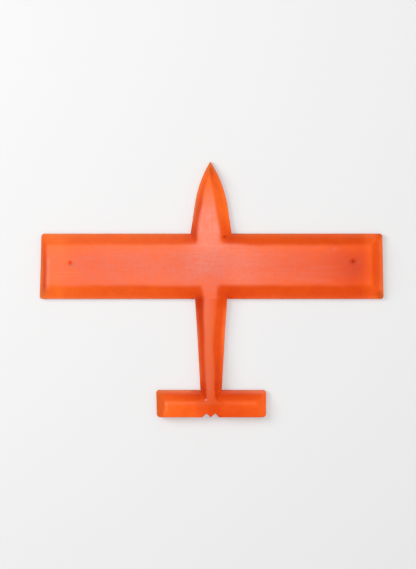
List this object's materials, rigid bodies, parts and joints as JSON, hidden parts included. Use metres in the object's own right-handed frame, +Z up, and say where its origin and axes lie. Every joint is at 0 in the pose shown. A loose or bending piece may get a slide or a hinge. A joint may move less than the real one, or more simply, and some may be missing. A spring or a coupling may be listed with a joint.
{
  "type": "flat cast-resin model aeroplane",
  "caption": "Flat translucent orange model aeroplane: pointed nose, straight wing, tapering boom and notched tailplane, bevelled by hand, with a pin hole near each wing tip.",
  "frame": {"origin": "middle of the outline's box, on the flat underside", "axes": "+X along the span to the right of the nose seen from above, +Y to the nose, +Z up from the underside to the bevelled face"},
  "size_m": [0.1999, 0.1484, 0.008],
  "materials": {
    "orange_resin": "translucent cast resin, hand-filed: bloomed matte flat, smoother bevels",
    "dowel_resin": "the same resin as turned rod, trimmed flush"
  },
  "bodies": {
    "root": {"fuselage": "orange_resin", "wing": "orange_resin", "tailplane": "orange_resin", "wing_dowel_front": "dowel_resin", "wing_dowel_rear": "dowel_resin", "tail_dowel_left": "dowel_resin", "tail_dowel_right": "dowel_resin"}
  },
  "joints": []
}
